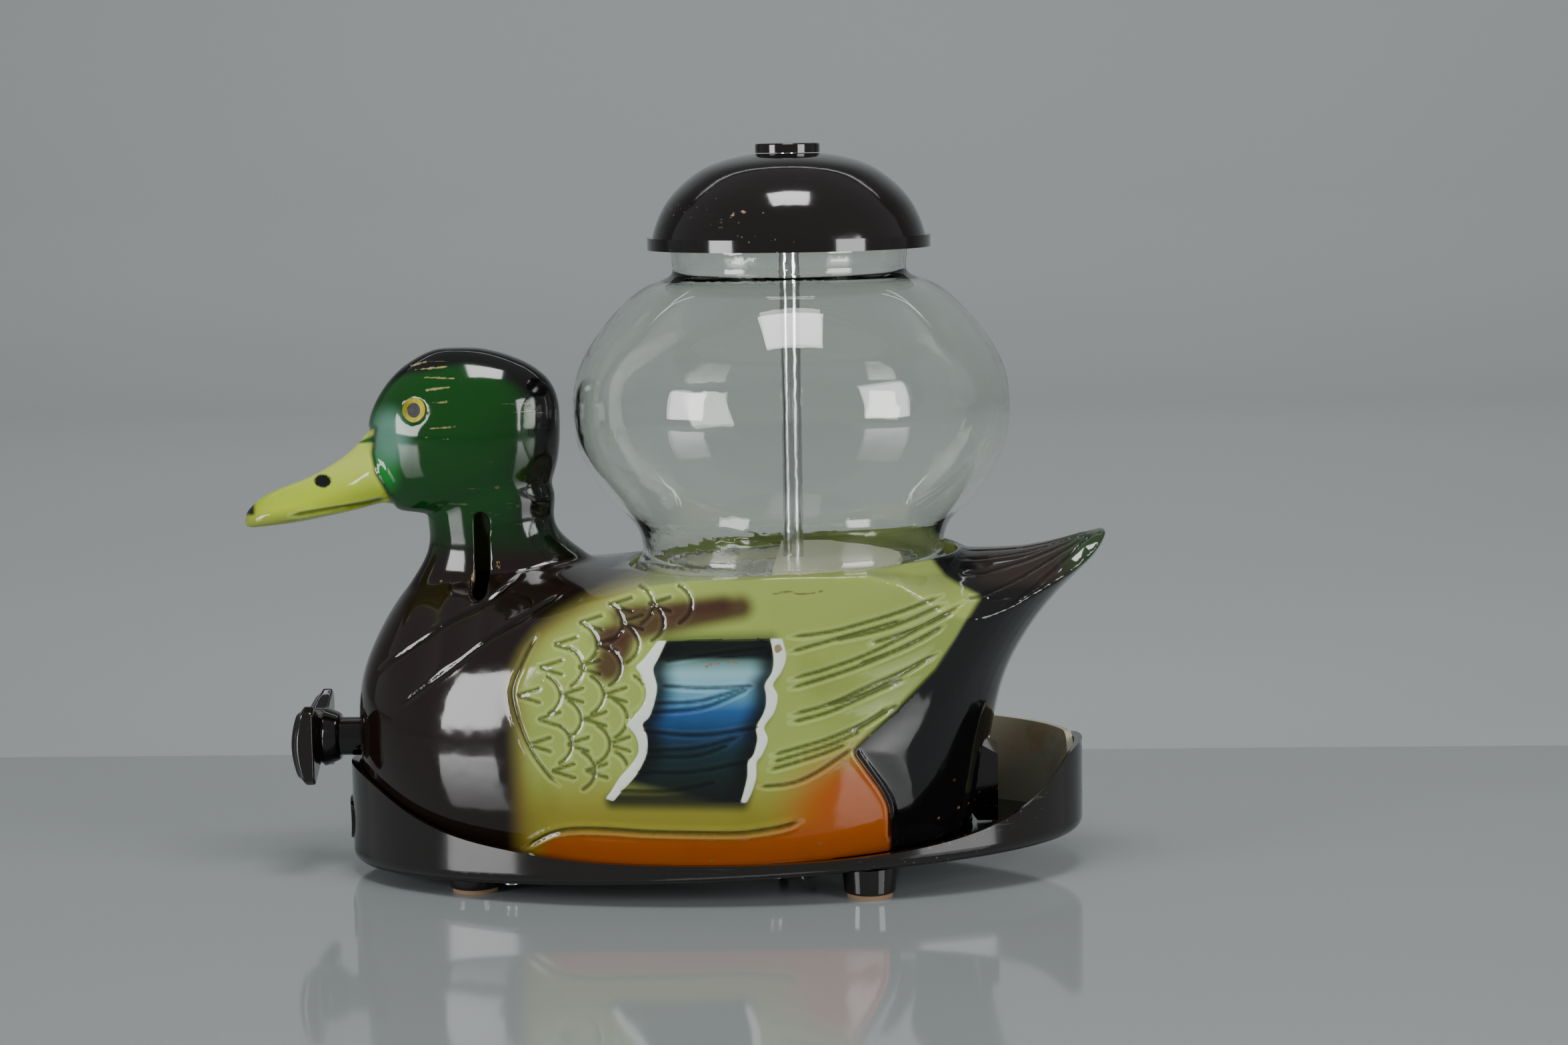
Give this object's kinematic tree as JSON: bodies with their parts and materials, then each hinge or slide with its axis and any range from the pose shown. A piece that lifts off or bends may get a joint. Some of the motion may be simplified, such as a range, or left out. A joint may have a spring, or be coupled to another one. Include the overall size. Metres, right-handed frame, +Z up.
{
  "type": "duck-shaped sweet dispenser and coin bank",
  "caption": "Duck-shaped counter dispenser with a glass globe, screw-down lid, breast knob that turns a pocket wheel, coin slot and catch tray.",
  "frame": {"origin": "centre of the overall box, on the surface that the feet stand on", "axes": "+X from the bill to the tail, +Y to the duck's right, +Z up"},
  "size_m": [0.3338, 0.168, 0.2798],
  "materials": {
    "duck_paint": "airbrushed and clear coated",
    "dark_gloss": "dark brown gloss moulding",
    "cream": "cream satin moulding",
    "glass": "clear",
    "chrome": "polished",
    "steel": "zinc plated",
    "eye_yellow": "yellow ring round a black pupil",
    "eye_clear": "clear dome",
    "pad": "tan pad",
    "gasket": "translucent",
    "white_nylon": "natural nylon"
  },
  "bodies": {
    "base": {"body_shell_left": "duck_paint", "body_shell_right": "duck_paint", "eye_left": "eye_yellow", "eye_right": "eye_yellow", "eye_lens_left": "eye_clear", "eye_lens_right": "eye_clear", "tray": "dark_gloss", "front_plaque": "dark_gloss", "foot_front_left": "dark_gloss", "foot_front_right": "dark_gloss", "foot_rear_left": "dark_gloss", "foot_rear_right": "dark_gloss", "foot_pads": "pad", "foot_screws": "steel", "shell_screws": "steel", "nut_guard": "cream", "globe_gasket": "gasket", "centre_rod": "chrome", "rod_foot_nut": "steel", "hopper_plate": "cream", "discharge_cover": "cream", "thrust_collar": "steel", "shaft_bush": "dark_gloss", "shaft_bearing": "white_nylon", "discharge_chute": "dark_gloss"},
    "knob": {"knob": "dark_gloss", "knob_shaft": "dark_gloss", "pinion": "white_nylon", "shaft_clip": "steel"},
    "wheel": {"dispensing_wheel": "white_nylon", "wheel_sleeve": "white_nylon", "crown_gear": "white_nylon"},
    "globe": {"globe": "glass"},
    "lid": {"lid": "dark_gloss"},
    "lid_nut": {"lid_nut": "dark_gloss"}
  },
  "joints": [
    {"name": "knob_turn", "type": "hinge", "parent": "base", "child": "knob", "pos_m": [-0.13, 0, 0.0516], "axis": [1, 0, 0], "continuous": true},
    {"name": "wheel_turn", "type": "hinge", "parent": "base", "child": "wheel", "pos_m": [0.046, 0, 0.11], "axis": [0, 0, 1], "continuous": true},
    {"name": "globe_lift", "type": "slide", "parent": "base", "child": "globe", "axis": [0, 0, 1], "range_m": [0, 0.17]},
    {"name": "lid_lift", "type": "slide", "parent": "globe", "child": "lid", "axis": [0, 0, 1], "range_m": [0, 0.06]},
    {"name": "lid_nut_turn", "type": "hinge", "parent": "lid", "child": "lid_nut", "pos_m": [0.046, 0, 0.277], "axis": [0, 0, 1], "continuous": true}
  ],
  "couplings": [
    {"joint": "wheel_turn", "follows": "knob_turn", "ratio": 0.5}
  ]
}
